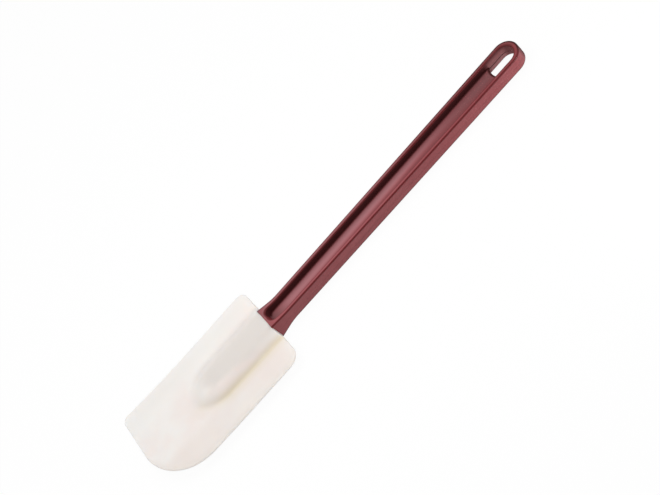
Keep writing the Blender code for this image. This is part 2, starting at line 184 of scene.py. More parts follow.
class StageSettings(bpy.types.PropertyGroup):
    focal_length: bpy.props.FloatProperty(
        name="Focal Length", description="Lens on a 36 mm wide sensor", default=84.98, unit="CAMERA")
    key_power: bpy.props.FloatProperty(
        name="Key Light", description="Power of the large light overhead, to the left",
        default=1.2, unit="POWER")
    side_power: bpy.props.FloatProperty(
        name="Side Light", description="Power of the low light on the right",
        default=0.135, unit="POWER")
    surround: bpy.props.FloatProperty(
        name="Surround", description="Strength of the light from the white tent", default=0.68)
    opening: bpy.props.FloatProperty(
        name="Opening", description="Strength of the light from the tent's opening at the front",
        default=0.14)
    floor_color: tint("Floor", "Colour of the floor", (0.93, 0.93, 0.93))


# Blends and ramps


def between(low, high, share):
    """The value a share of the way from low to high, for numbers and for wires."""
    return low + (high - low) * share


def ramp(value, start, end):
    """Goes evenly from 0 at start to 1 at end and stays there beyond, for numbers only."""
    return min(1.0, max(0.0, (value - start) / (end - start)))


# Node trees written as arithmetic


class Wire:
    """A socket of a node tree that can be added, multiplied and so on like a number."""

    def __init__(self, tree, socket):
        self.tree = tree
        self.socket = socket

    def __add__(self, other):
        return reckon("ADD", self, other)

    def __radd__(self, other):
        return reckon("ADD", other, self)

    def __sub__(self, other):
        return reckon("SUBTRACT", self, other)

    def __rsub__(self, other):
        return reckon("SUBTRACT", other, self)

    def __mul__(self, other):
        return reckon("MULTIPLY", self, other)

    def __rmul__(self, other):
        return reckon("MULTIPLY", other, self)

    def __truediv__(self, other):
        return reckon("DIVIDE", self, other)

    def __pow__(self, other):
        return reckon("POWER", self, other)

    def __neg__(self):
        return reckon("MULTIPLY", self, -1.0)


def connect(tree, value, socket):
    """Feeds a socket from a wire, or sets it to a plain value."""
    if isinstance(value, Wire):
        tree.links.new(value.socket, socket)
    else:
        socket.default_value = value


def reckon(operation, *values):
    """A Math node over wires and numbers."""
    tree = next(value.tree for value in values if isinstance(value, Wire))
    node = tree.nodes.new("ShaderNodeMath")
    node.operation = operation
    for value, socket in zip(values, node.inputs):
        connect(tree, value, socket)
    return Wire(tree, node.outputs[0])


def larger(first, second):
    return reckon("MAXIMUM", first, second)


def smaller(first, second):
    return reckon("MINIMUM", first, second)


def root(value):
    return reckon("SQRT", larger(value, 0.0))


def sine(value):
    return reckon("SINE", value)


def size_of(value):
    return reckon("ABSOLUTE", value)


def node_in(tree, kind, inputs=None, **settings):
    """A new node with its settings and inputs."""
    node = tree.nodes.new(kind)
    for name, value in settings.items():
        setattr(node, name, value)
    for key, value in (inputs or {}).items():
        connect(tree, value, node.inputs[key])
    return node


def output_of(tree, kind, inputs=None, output=0, **settings):
    """The wire from one output of a new node."""
    return Wire(tree, node_in(tree, kind, inputs, **settings).outputs[output])


def step_up(value, start, end):
    """Rises smoothly from 0 at start to 1 at end."""
    inputs = {"Value": value, "From Min": start, "From Max": end}
    return output_of(value.tree, "ShaderNodeMapRange", inputs, "Result", interpolation_type="SMOOTHSTEP")


def step_down(value, start, end):
    """Falls smoothly from 1 at start to 0 at end."""
    return 1.0 - step_up(value, start, end)


def corner_loss(distance, radius):
    """How far a round of some radius draws a side in, or fills it up, at a distance from its end."""
    return radius - root(radius ** 2.0 - larger(radius - distance, 0.0) ** 2.0)


def corner_room(radius, from_end, from_side):
    """Distance to the edge of a plan with a rounded corner, up to the corner's radius."""
    return radius - root(larger(radius - from_end, 0.0) ** 2.0 + larger(radius - from_side, 0.0) ** 2.0)


def axes_of(tree, vector):
    """The three numbers of a vector."""
    node = tree.nodes.new("ShaderNodeSeparateXYZ")
    connect(tree, vector, node.inputs[0])
    return [Wire(tree, output) for output in node.outputs]


def vector_of(tree, x, y, z):
    """A vector from three numbers."""
    node = tree.nodes.new("ShaderNodeCombineXYZ")
    for value, socket in zip((x, y, z), node.inputs):
        connect(tree, value, socket)
    return Wire(tree, node.outputs[0])


class ShapeTree:
    """A geometry node tree with named sizes as inputs."""

    def __init__(self, name, sizes, counts):
        self.tree = bpy.data.node_groups.new(name, "GeometryNodeTree")
        self.values = {}
        new_socket = self.tree.interface.new_socket
        new_socket("Geometry", in_out="INPUT", socket_type="NodeSocketGeometry")
        new_socket("Geometry", in_out="OUTPUT", socket_type="NodeSocketGeometry")
        for label, value in sizes.items():
            self.values[new_socket(label, in_out="INPUT", socket_type="NodeSocketFloat").identifier] = value
        for label, value in counts.items():
            self.values[new_socket(label, in_out="INPUT", socket_type="NodeSocketInt").identifier] = value
        self.start = self.tree.nodes.new("NodeGroupInput")
        self.end = self.tree.nodes.new("NodeGroupOutput")

    def read(self, label):
        return Wire(self.tree, self.start.outputs[label])

    def add(self, kind, inputs=None, **settings):
        """The wire from a new node's first output."""
        return output_of(self.tree, kind, inputs, **settings)

    def finish(self, mesh, material):
        """Ends the tree in Realize Instances and Set Material."""
        smooth = self.add("GeometryNodeSetShadeSmooth", {"Geometry": mesh})
        real = self.add("GeometryNodeRealizeInstances", {"Geometry": smooth})
        last = self.add("GeometryNodeSetMaterial", {"Geometry": real, "Material": material})
        self.tree.links.new(last.socket, self.end.inputs[0])

    def grow(self, name, mesh):
        """Runs the tree on a mesh and returns the result as a plain object."""
        source = bpy.data.objects.new(f"{name}_source", mesh)
        bpy.context.collection.objects.link(source)
        modifier = source.modifiers.new("shape", "NODES")
        modifier.node_group = self.tree
        for identifier, value in self.values.items():
            modifier[identifier] = value
        evaluated = source.evaluated_get(bpy.context.evaluated_depsgraph_get())
        result = bpy.data.meshes.new_from_object(evaluated)
        result.name = name
        source.modifiers.remove(modifier)
        bpy.data.objects.remove(source, do_unlink=True)
        obj = bpy.data.objects.new(name, result)
        bpy.context.collection.objects.link(obj)
        return obj

    def cushioned_grid(self, rows, columns):
        """A closed box of two grids, and its points as (along 0 to 1, across -1 to 1, side -1 or 1).

        Rows and columns crowd together towards the edges, where the form is rounded.
        """
        sheet = self.add("GeometryNodeMeshGrid", {
            "Size X": 1.0, "Size Y": 1.0,
            "Vertices X": self.read(rows), "Vertices Y": self.read(columns)})
        raised = self.add("GeometryNodeExtrudeMesh", {
            "Mesh": sheet, "Offset": (0.0, 0.0, 1.0), "Individual": False})
        under = self.add("GeometryNodeFlipFaces", {"Mesh": sheet})
        both = self.tree.nodes.new("GeometryNodeJoinGeometry")
        for part in (raised, under):
            self.tree.links.new(part.socket, both.inputs[0])
        merged = self.add("GeometryNodeMergeByDistance", {
            "Geometry": Wire(self.tree, both.outputs[0]), "Distance": 1e-5})
        x, y, z = axes_of(self.tree, self.add("GeometryNodeInputPosition"))
        crowd = self.read("Crowding")
        from_end = 0.5 - x
        along = from_end - crowd * sine(from_end * (2 * math.pi)) / (2 * math.pi)
        across = y * 2.0 + crowd * sine(y * (2 * math.pi)) / math.pi
        return merged, along, across, z * 2.0 - 1.0

    def painted(self, mesh, shares):
        """The mesh with named shares from 0 to 1 that its points carry."""
        for label, value in shares.items():
            inputs = {"Geometry": mesh, "Name": label, "Value": value}
            mesh = self.add("GeometryNodeStoreNamedAttribute", inputs, data_type="FLOAT", domain="POINT")
        return mesh

    def moved(self, mesh, x, y, z):
        """The mesh with every point set to a new place in the scraper's own frame."""
        place = vector_of(self.tree, x + PLACE.x, y + PLACE.y, z + PLACE.z)
        return self.add("GeometryNodeSetPosition", {"Geometry": mesh, "Position": place})


# Materials


def shaded(name):
    """A new material, its tree and its shader node."""
    material = bpy.data.materials.new(name)
    material.use_nodes = True
    return material, material.node_tree, material.node_tree.nodes["Principled BSDF"]


def object_place(tree):
    """A point's place in object coordinates, which are the measured frame's."""
    return output_of(tree, "ShaderNodeTexCoord", output="Object")


def noise(tree, place, scale, stretch=(1.0, 1.0, 1.0), detail=3.0):
    """Noise from 0 to 1, in waves per metre, that can be stretched along an axis."""
    mapped = output_of(tree, "ShaderNodeMapping", {"Vector": place, "Scale": stretch})
    return output_of(tree, "ShaderNodeTexNoise", {"Vector": mapped, "Scale": scale, "Detail": detail})


def mingled(tree, first, second, share):
    """A colour between two colours or wires."""
    node = node_in(tree, "ShaderNodeMix", data_type="RGBA")
    colors = [socket for socket in node.inputs if socket.type == "RGBA"]
    for value, socket in zip((first, second), colors):
        if not isinstance(value, Wire):
            value = (*value, 1.0)
        connect(tree, value, socket)
    connect(tree, share, node.inputs[0])
    return Wire(tree, next(socket for socket in node.outputs if socket.type == "RGBA"))


def layered(tree, color, layers):
    """A colour with others laid over it in turn, each by its share."""
    for above, share in layers:
        color = mingled(tree, color, above, share)
    return color


def carried(tree, name):
    """A share from 0 to 1 that a piece carries at its points."""
    return output_of(tree, "ShaderNodeAttribute", output="Fac", attribute_name=name)


def bumped(tree, shader, height, strength, distance):
    """Gives the shader a bump from a height."""
    inputs = {"Height": height, "Strength": strength, "Distance": distance}
    connect(tree, output_of(tree, "ShaderNodeBump", inputs), shader.inputs["Normal"])


def nylon(form):
    """Satin maroon nylon: cloudy and drawn along its length, with painted shade in its corners and along
    its edges, walls and parting line, and painted sheen and bounce light in its pocket and slot.
    """
    s = form.s
    material, tree, shader = shaded("maroon_nylon")
    place = object_place(tree)
    x, y, z = [axis - start for axis, start in zip(axes_of(tree, place), PLACE)]
    cloud = noise(tree, place, 55.0, detail=4.0)
    draw = noise(tree, place, 260.0, stretch=(0.06, 1.0, 1.0))
    grain = noise(tree, place, 2600.0, detail=2.0)
    scratch = noise(tree, place, 900.0, stretch=(0.03, 1.0, 1.0), detail=1.0)
    fleck = noise(tree, place, 1400.0, detail=1.0)
    edge = carried(tree, "edge")
    recess = carried(tree, "recess")
    painted_sheen = carried(tree, "painted_sheen")

    # The slot's walls are told from the outside by their distance from the middle of the round tip
    from_middle = root(larger(x - form.tip_centre, 0.0) ** 2.0 + y ** 2.0)
    outside = step_up(from_middle, form.slot_half_width + 0.7 * MM, form.slot_half_width + 1.7 * MM)
    slot_start = form.web_end + s.web_end_round
    in_slot = (1.0 - outside) * step_up(x, slot_start, slot_start + 1.2 * MM)
    # Painted shade along the parting line: strong in the slot, less round the tip, faint outside
    seam = step_down(size_of(z + s.seam_drop), 0.14 * MM, between(0.38 * MM, 0.52 * MM, in_slot))
    round_the_tip = step_up(x, form.tip_centre, form.tip_centre + 4.0 * MM)
    seam_shade = larger(outside * 0.15, in_slot * between(0.95, 0.35, round_the_tip))

    color = layered(tree, s.nylon_color, (
        (s.rubbed_color, step_up(cloud, 0.42, 0.78) * 0.35),
        (s.streak_and_edge_shade_color, step_up(draw, 0.5, 0.85) * 0.35),
        (s.rubbed_color, step_up(scratch, 0.70, 0.76) * 0.5),
        # Painted sheen on the pocket's floor and rims, and painted bounce light on the slot's walls
        (s.painted_sheen_color, painted_sheen * 0.85),
        # Painted shade on parts of the pocket's floor and rims
        (s.dim_shade_color, carried(tree, "dim_shade")),
        (s.rubbed_color, step_up(fleck, 0.63, 0.70) * step_up(x, 100.0 * MM, 200.0 * MM)),
        # Painted bounce light on the slot's walls
        (s.slot_light_color, painted_sheen * in_slot),
        # Painted shade along the parting line
        (s.deep_shade_color, seam * seam_shade),
        # Painted shade along the edges, on the rims towards the tip and on the floor's right side
        (s.streak_and_edge_shade_color, edge),
        # Painted shade in the corners and recesses, along the left side and over the tip's end
        (s.deep_shade_color, recess * 0.98),
    ))
    connect(tree, color, shader.inputs["Base Color"])
    roughness = 0.36 + cloud * 0.12 + grain * 0.06 - edge * 0.16 + recess * 0.5
    connect(tree, roughness + in_slot * between(0.06, 0.4, seam), shader.inputs["Roughness"])
    shader.inputs["Specular IOR Level"].default_value = 0.55
    bumped(tree, shader, grain * 0.5 + draw + scratch * 0.3, 0.12, 0.1 * MM)
    return material


def silicone(s):
    """Soft ivory silicone: warm where it is thick and faintly clouded, with painted shade over the tongue,
    along its left side, over its right side and in the boss's right crease.
    """
    material, tree, shader = shaded("ivory_silicone")
    place = object_place(tree)
    cloud = noise(tree, place, 28.0)
    speck = noise(tree, place, 900.0, detail=2.0)
    grain = noise(tree, place, 1800.0, detail=2.0)
    leftward = step_up(axes_of(tree, place)[1], 10.0 * MM, 30.0 * MM)
    color = layered(tree, s.silicone_color, (
        (s.flushed_color, step_up(cloud, 0.35, 0.65) * (1.0 - leftward * 0.7)),
        # Painted shade over the right side
        (s.right_side_shade_color, carried(tree, "right_side_shade")),
        # Painted shade where the tongue shows through, and along the left side
        (s.shaded_color, carried(tree, "grey_shade")),
        (s.thick_color, carried(tree, "thickness") * 0.15),
        # Painted warm shade in the crease at the boss's right foot
        (s.crease_shade_color, carried(tree, "foot")),
        (s.thick_color, step_up(speck, 0.66, 0.72) * 0.25),
    ))
    connect(tree, color, shader.inputs["Base Color"])
    connect(tree, 0.42 + cloud * 0.12, shader.inputs["Roughness"])
    shader.inputs["Specular IOR Level"].default_value = 0.35
    shader.inputs["Subsurface Weight"].default_value = 0.9
    shader.inputs["Subsurface Radius"].default_value = (1.0, 0.9, 0.8)
    shader.inputs["Subsurface Scale"].default_value = 4.0 * MM
    bumped(tree, shader, grain * 0.4 + cloud, 0.08, 0.15 * MM)
    return material


# Handle


class Ring(NamedTuple):
    """A loop of the handle's band, and shares from 0 to 1 that say what its surface is.

    They are how much it is an edge, how far it lies in the pocket, and how much it is part of the
    flat rim and of the outside.
    """

    points: list
    edge: float = 0.0
    recess: float = 0.0
    flat: float = 0.0
    outside: float = 0.0


class HandleForm:
    """The handle's outlines, which follow the same rules as its measured solid."""

    TIP_STEPS = 72
    CORNER_STEPS = 14
    FLARE_STATIONS = 16
    GRIP_STATIONS = 56
    EDGE_STEPS = 6
    LIP_STEPS = 4
    # How far down the pocket's wall its rings lie, as shares of the wall
    WALL_SHARES = (0.06, 0.2, 0.35, 0.7, 1.0)

    def __init__(self, settings):
        self.s = settings
        self.tip_centre = settings.reach - settings.width_at_tip / 2
        self.slot_half_width = self.pocket_half_width(self.tip_centre)
        self.web_end = settings.reach - settings.tip_wall - settings.slot_length
        self.slot_corner = self.web_end + settings.slot_arc_depth
        # The pocket's near end lies before this place, and its straight sides beyond it
        self.sides_start = settings.pocket_start + settings.pocket_corner + settings.pocket_end_draft
        # The sides stand in a little, so that the bead round them stays inside the handle's width
        self.set_back = settings.bead_radius / 2

    def flare(self, x):
        """Share of the neck's flare at x: straight at first, and then running out in a curve."""
        curve = self.s.flare_length - self.s.flare_straight
        foot = self.s.flare_length - curve / 2
        if x >= self.s.flare_length:
            return 0.0
        if x >= self.s.flare_straight:
            return (self.s.flare_length - x) ** 2 / (2 * curve) / foot
        return (foot - x) / foot

    def half_width(self, x):
        """Half the handle's width, before its sides are drawn in."""
        grip = between(self.s.width_at_neck, self.s.width_at_tip, x / self.tip_centre)
        return (grip + (self.s.neck_width - self.s.width_at_neck) * self.flare(x)) / 2

    def half_thickness(self, x):
        """Half the handle's thickness over its rims."""
        return between(self.s.grip_thickness, self.s.neck_thickness, self.flare(x)) / 2

    def pocket_half_width(self, x):
        """Half the pocket's width under its rounded upper edge."""
        at_neck = self.s.width_at_neck / 2 - self.s.rim_at_neck
        at_tip = self.s.width_at_tip / 2 - self.s.rim_at_tip
        return between(at_neck, at_tip, x / self.tip_centre)

    def stations(self):
        """Places along the straight sides, closer together along the flare."""
        flare = [between(self.sides_start, self.s.flare_length, i / self.FLARE_STATIONS)
                 for i in range(self.FLARE_STATIONS)]
        grip = [between(self.s.flare_length, self.tip_centre, i / self.GRIP_STATIONS)
                for i in range(self.GRIP_STATIONS)]
        return flare + grip

    def with_sides(self, near_end, half_width, centre, radius):
        """A plan loop: near end, right side, round tip, left side and back."""
        sides = [(x, half_width(x)) for x in self.stations()]
        points = [(x, -y) for x, y in near_end] + [(x, -y) for x, y in sides]
        for i in range(self.TIP_STEPS + 1):
            angle = math.pi * (i / self.TIP_STEPS - 0.5)
            points.append((centre + radius * math.cos(angle), radius * math.sin(angle)))
        return points + sides[::-1] + near_end[:0:-1]

    def outer(self, inset):
        """The handle's outline, moved inwards."""
        half = self.half_width(-self.s.seat_depth) - inset
        steps = self.CORNER_STEPS
        near_end = [(-self.s.seat_depth, half * i / steps) for i in range(steps + 1)]
        radius = self.s.width_at_tip / 2 - inset
        return self.with_sides(near_end, lambda x: self.half_width(x) - inset, self.tip_centre, radius)

    def pocket(self, inset, end_inset):
        """The pocket's outline, moved inwards, by another amount at its near end."""
        start = self.s.pocket_start + end_inset
        half = self.pocket_half_width(start) - inset
        corner = self.s.pocket_corner - inset
        near_end = [(start, 0.0)]
        for i in range(self.CORNER_STEPS):
            angle = math.pi / 2 * i / (self.CORNER_STEPS - 1)
            in_from_side = corner * (1 - math.sin(angle))
            near_end.append((start + corner * (1 - math.cos(angle)), half - in_from_side))
        centre = self.s.reach - self.s.tip_wall - self.slot_half_width
        radius = self.slot_half_width - inset
        return self.with_sides(near_end, lambda x: self.pocket_half_width(x) - inset, centre, radius)

    def face_rings(self, side):
        """Rings of one face from the parting line over the rim to the foot of the pocket's wall."""
        s = self.s
        rings = []

        def lowered(outline, drop):
            return [(x, y, side * (self.half_thickness(x) - drop)) for x, y in outline]

        def outer_ring(inset, drop, edge=0.0, flat=0.0, outside=1.0):
            points = lowered(self.outer(inset + self.set_back), drop)
            rings.append(Ring(points, edge=edge, flat=flat, outside=outside))

        def pocket_ring(inset, drop=0.0, edge=0.0):
            rings.append(Ring(lowered(self.pocket(inset, inset), drop), edge=edge, flat=1.0))

        # The edge shares below also carry the painted shade along the outer edges and the pocket's lip
        outer_ring(s.side_draft * 0.8, s.edge_round * 1.8)
        outer_ring(s.side_draft * 0.9, s.edge_round * 1.2, edge=0.8)
        for i in range(self.EDGE_STEPS + 1):
            angle = math.pi / 2 * i / self.EDGE_STEPS
            inset = s.side_draft + s.edge_round * (1 - math.cos(angle))
            outer_ring(inset, s.edge_round * (1 - math.sin(angle)), edge=1.0)
        outer_ring(s.side_draft + s.edge_round * 1.2, 0.0, edge=0.85, flat=1.0, outside=0.9)
        outer_ring(s.side_draft + s.edge_round * 1.6, 0.0, flat=1.0, outside=0.4)
        pocket_ring(-s.lip_round * 3.0)
        # A ring in the middle of the rim takes less of the rim's painted shade and sheen, so the middle
        # reads lighter towards the tip
        pairs = zip(rings[-2].points, rings[-1].points)
        middle = [tuple((a + b) / 2 for a, b in zip(*pair)) for pair in pairs]
        rings.insert(-1, Ring(middle, flat=0.4))
        pocket_ring(-s.lip_round * 1.5, edge=0.6)
        for i in range(self.LIP_STEPS + 1):
            share = i / self.LIP_STEPS
            inset = -s.lip_round * (1 - math.sin(math.pi / 2 * share))
            drop = s.lip_round * (1 - math.cos(math.pi / 2 * share))
            pocket_ring(inset, drop, edge=between(0.75, 1.0, share))
        # The walls' recess shares carry the painted shade on the pocket's walls
        for share in self.WALL_SHARES:
            outline = self.pocket(s.pocket_draft * share, s.pocket_end_draft * share)
            wall = [(x, y, side * between(self.half_thickness(x) - s.lip_round, s.web_thickness / 2, share))
                    for x, y in outline]
            rings.append(Ring(wall, recess=min(0.9, share * 5)))
        return rings

    def in_pocket(self, x):
        """Falls from 1 to 0 where the web ends and the slot begins."""
        share = ramp(x, self.slot_corner, self.slot_corner - 4 * MM)
        return share * share * (3 - 2 * share)

    def at_far_side(self, x, y, z):
        """Painted shade, rising from 0 to 1 along the left side's edges and over the tip's end from its
        right side.
        """
        down_the_side = ramp(self.half_thickness(x) - abs(z), 0.8 * MM, 3.8 * MM)
        if x < self.tip_centre:
            towards_tip = ramp(x, self.tip_centre / 2, self.tip_centre)
            return towards_tip * between(1.0, 0.25, down_the_side) if y > 0 else 0.0
        # Radians round the tip, from a right angle below 0 on its right to one above 0 on its left
        turned = math.atan2(y, x - self.tip_centre)
        on_left = ramp(turned, 0.5, 1.4)
        return ramp(turned, -0.9, -0.4) * between(1.0, 0.25, down_the_side * on_left)

    def in_shade(self, x, z):
        """Falls from 1 just under the front's lip to 0 below the web's height, in the slot only."""
        return (1 - self.in_pocket(x)) * ramp(self.half_thickness(x) - z, 3.1 * MM, 0.7 * MM)

    def at_slot_end(self, x):
        """Painted shade, rising from 0 to its full share where the slot's wall turns towards the blade."""
        return 0.7 * ramp(x, self.tip_centre + 0.5 * MM, self.tip_centre + 4.0 * MM)

    def at_lit_end(self, x, y):
        """1 on the right half of the pocket's near end, which gets more light, and 0 elsewhere."""
        return ramp(y, 1.8 * MM, -1.2 * MM) if x < self.sides_start else 0.0


def object_from(name, mesh_builder, material, paint=None):
    """A finished piece from a bmesh in the scraper's own frame, with any shares that its points carry."""
    bmesh.ops.recalc_face_normals(mesh_builder, faces=mesh_builder.faces)
    bmesh.ops.translate(mesh_builder, verts=mesh_builder.verts, vec=PLACE)
    mesh = bpy.data.meshes.new(name)
    mesh_builder.to_mesh(mesh)
    mesh_builder.free()
    mesh.shade_smooth()
    mesh.set_sharp_from_angle(angle=math.radians(50))
    mesh.materials.append(material)
    for label, values in (paint or {}).items():
        mesh.attributes.new(label, "FLOAT", "POINT").data.foreach_set("value", values)
    obj = bpy.data.objects.new(name, mesh)
    bpy.context.collection.objects.link(obj)
    return obj


def dressed(obj, node):
    """Sets a finished piece on the one body, where it stands in for a node, which it hides."""
    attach(obj, "root")
    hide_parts(node)


def loft(mesh_builder, rings, closed=False, capped=False):
    """Skins rings of the same length."""
    loops = [[mesh_builder.verts.new(point) for point in points] for points in rings]
    pairs = list(zip(loops, loops[1:]))
    if closed:
        pairs.append((loops[-1], loops[0]))
    for first, second in pairs:
        count = len(first)
        for i in range(count):
            j = (i + 1) % count
            mesh_builder.faces.new((first[i], first[j], second[j], second[i]))
    if capped:
        mesh_builder.faces.new(loops[0])
        mesh_builder.faces.new(loops[-1])


def rim_shares(form, ring, x, y, z):
    """How edged the rim is at a point of one of its rings, and how much painted shade, painted sheen and
    bounce light it takes there.
    """
    inside = form.in_pocket(x)
    along = ramp(x, 0.0, form.tip_centre)
    # Painted shade: the flat rims darker towards the tip, more on the left
    darkened = (0.5 if y < 0 else 0.75) * ramp(along, 0.5, 1.0) * ring.flat
    shade = form.in_shade(x, z) if ring.recess > 0.0 else 0.0
    # Painted shade in the pocket's corners, in the slot under its lip and at the slot's end
    in_corner = ring.recess * inside * (1 - 0.85 * form.at_lit_end(x, y))
    shadow = max(in_corner, shade * 0.75, ring.recess * form.at_slot_end(x))
    # Painted shade: the outer walls a little darker, fading out towards the tip
    wall_shade = 0.13 * ramp(along, 1.0, 2 / 3) * (1 - ring.edge) * (1 - ring.flat)
    # Painted sheen on the flat rims, more on the left and near the neck
    rim_sheen = ring.flat * (0.35 if y < 0 else 0.7) * (1 - along ** 2)
    # Painted shade: the rims dimmer by the blade, and the left rim dimmer, most towards the tip
    by_blade = 0.32 * ramp(x, 3.0 * MM, 0.0)
    left_rim_shade = between(0.34, 0.62, along) if y > 0 else 0.0
    return {
        "edge": min(1.0, max(ring.edge, darkened) + ring.edge * darkened),
        "recess": max(shadow, ring.outside * max(wall_shade, form.at_far_side(x, y, z) * 0.95)),
        # Painted bounce light on the slot's walls, less under the lip, and painted sheen on the rims
        "painted_sheen": max(ring.recess * (1 - inside) * (1 - 0.7 * shade), rim_sheen),
        "dim_shade": ring.flat * (by_blade + left_rim_shade),
    }


def make_rim(form, material):
    """The handle's rim and tip: one closed band round the pockets and the slot."""
    seam = Ring([(x, y, -form.s.seam_drop) for x, y in form.outer(form.set_back)], outside=1.0)
    rings = [seam] + form.face_rings(1) + form.face_rings(-1)[::-1]
    mesh_builder = bmesh.new()
    loft(mesh_builder, [ring.points for ring in rings], closed=True)
    paint = {"edge": [], "recess": [], "painted_sheen": [], "dim_shade": []}
    for ring in rings:
        for point in ring.points:
            for label, share in rim_shares(form, ring, *point).items():
                paint[label].append(share)
    return object_from("handle_rim", mesh_builder, material, paint)


def web_shares(x, y, to_wall, to_end):
    """How much painted shade and painted sheen the web takes at its points."""
    # Painted shade by the walls and over the web's rounded end, less on the near end's right half, which
    # gets more light
    right_part = step_up(-y, -3.5 * MM, -0.9 * MM)
    lit_end = right_part * step_down(x, 5.0 * MM, 8.0 * MM) * 0.85
    by_wall = step_down(to_wall, 0.3 * MM, 2.0 * MM) * (1.0 - lit_end)
    by_end = step_down(to_end, 1.0 * MM, 1.8 * MM)
    towards_tip = step_up(x, 110.0 * MM, 200.0 * MM)
    from_blade = step_up(x, -3.0 * MM, 21.0 * MM)
    # The streaks along the pocket turn slightly to the left towards the tip
    rightward = x * 0.02 - y
    on_right = step_up(rightward, 2.5 * MM, 6.0 * MM)
    # Painted shade: the floor dimmer towards the tip on its right, by its left wall, along its right side
    # and by the blade
    dim_shade_to_tip = towards_tip * step_down(-y, 0.0, 5.0 * MM) * 0.72
    dim_shade_by_left_wall = step_up(y, -0.5 * MM, 4.5 * MM) * 0.55
    dim_shade = larger(larger(dim_shade_to_tip, dim_shade_by_left_wall), on_right * 0.5)
    # Painted sheen over the middle of the pocket's floor, away from its walls, its right side and the tip
    painted_sheen = step_up(to_wall, 0.8 * MM, 2.8 * MM) * (1.0 - towards_tip)
    return {
        "recess": larger(by_wall, by_end * 0.88),
        "dim_shade": larger(dim_shade, 1.0 - from_blade),
        # Painted shade along the floor's right side
        "edge": on_right * 0.25,
        "painted_sheen": painted_sheen * step_down(rightward, 0.7 * MM, 5.2 * MM) * from_blade,
    }


def make_web(form, material):
    """The web between the pockets, with fillets along the walls and a rounded hollow end."""
    s = form.s
    half = form.pocket_half_width(form.slot_corner) - s.pocket_draft
    arc_radius = (half ** 2 + s.slot_arc_depth ** 2) / (2 * s.slot_arc_depth)
    shape = ShapeTree("pocket_web", {
        "Start": s.pocket_start + s.pocket_end_draft,
        "Half Width": form.pocket_half_width(0.0) - s.pocket_draft,
        "Widening": (form.slot_half_width - form.pocket_half_width(0.0)) / form.tip_centre,
        "Corner Radius": s.pocket_corner - s.pocket_draft,
        "Thickness": s.web_thickness,
        "Fillet": s.floor_fillet,
        "End Round": s.web_end_round,
        "Arc Radius": arc_radius,
        "Arc Centre": form.web_end + arc_radius,
        "Overlap": 0.3 * MM,
        "Crowding": 0.9,
    }, {"Rows": 200, "Columns": 56})
    read = shape.read
    mesh, along, across, side = shape.cushioned_grid("Rows", "Columns")
    # Along runs from the far end here, so it is turned round
    along = 1.0 - along
    first = read("Start") - read("Overlap")
    rough_x = between(first, read("Arc Centre") - read("Arc Radius"), along)
    half_width = read("Half Width") + read("Widening") * rough_x
    y = across * (half_width + read("Overlap"))
    end = read("Arc Centre") - root(read("Arc Radius") ** 2.0 - y ** 2.0)
    x = between(first, end, along)
    to_end_wall = x - read("Start")
    to_side_wall = half_width - size_of(y)
    in_corner = corner_room(read("Corner Radius"), to_end_wall, to_side_wall)
    to_wall = larger(smaller(in_corner, smaller(to_end_wall, to_side_wall)), 0.0)
    rise = corner_loss(to_wall, read("Fillet"))
    to_end = end - x
    short = larger(1.0 - to_end / read("End Round"), 0.0)
    height = read("Thickness") / 2.0 * root(1.0 - short ** 2.0)
    height = height + rise * step_up(to_end, read("End Round"), read("End Round") * 3.0)
    mesh = shape.painted(mesh, web_shares(x, y, to_wall, to_end))
    mesh = shape.moved(mesh, x, y, side * height)
    shape.finish(mesh, material)
    return shape.grow("handle_web", bpy.data.meshes.new("web_start"))


def make_parting_lines(form, material):
    """The fine bead that the mould's halves left round the handle and inside the slot."""
    s = form.s
    shape = ShapeTree("parting_line", {"Bead Radius": s.bead_radius}, {"Bead Sides": 8})
    path = shape.add("GeometryNodeMeshToCurve", {"Mesh": shape.read("Geometry")})
    ring = shape.add("GeometryNodeCurvePrimitiveCircle", {
        "Radius": shape.read("Bead Radius"), "Resolution": shape.read("Bead Sides")})
    bead = shape.add("GeometryNodeCurveToMesh", {
        "Curve": path, "Profile Curve": ring, "Fill Caps": True})
    shape.finish(bead, material)
    outside = [point for point in form.outer(s.bead_radius) if point[0] > 0.0]
    sunk = s.bead_radius * 0.7
    inside = [point for point in form.pocket(s.pocket_draft - sunk, s.pocket_end_draft)
              if point[0] > form.slot_corner + s.web_end_round]
    mesh = bpy.data.meshes.new("parting_paths")
    points = [PLACE + Vector((x, y, -s.seam_drop)) for x, y in outside + inside]
    joined = [(i, i + 1) for i in range(len(points) - 1) if i != len(outside) - 1]
    mesh.from_pydata(points, joined, [])
    return shape.grow("handle_parting_line", mesh)


def make_tongue(form, material):
    """The tongue inside the blade, out of sight."""
    s = form.s
    sides, steps = 24, 12
    root_half_width = form.half_width(0.0) * 0.7
    root_half_thickness = form.half_thickness(0.0) * 0.4
    angles = [2 * math.pi * k / sides for k in range(sides)]
    rings = []
    for i in range(steps + 1):
        share = i / steps
        rounding = between(0.4, 1.0, math.sqrt(1 - ramp(share, 0.9, 1.0) ** 2))
        half_width = between(root_half_width, s.tongue_width / 2, share) * rounding
        half_thickness = between(root_half_thickness, s.tongue_thickness / 2, share) * rounding
        x = s.pocket_start / 2 - (s.tongue_length + s.seat_depth) * share
        rings.append([(x, half_width * math.cos(a), half_thickness * math.sin(a)) for a in angles])
    mesh_builder = bmesh.new()
    loft(mesh_builder, rings, capped=True)
    return object_from("handle_tongue", mesh_builder, material)


# Blade


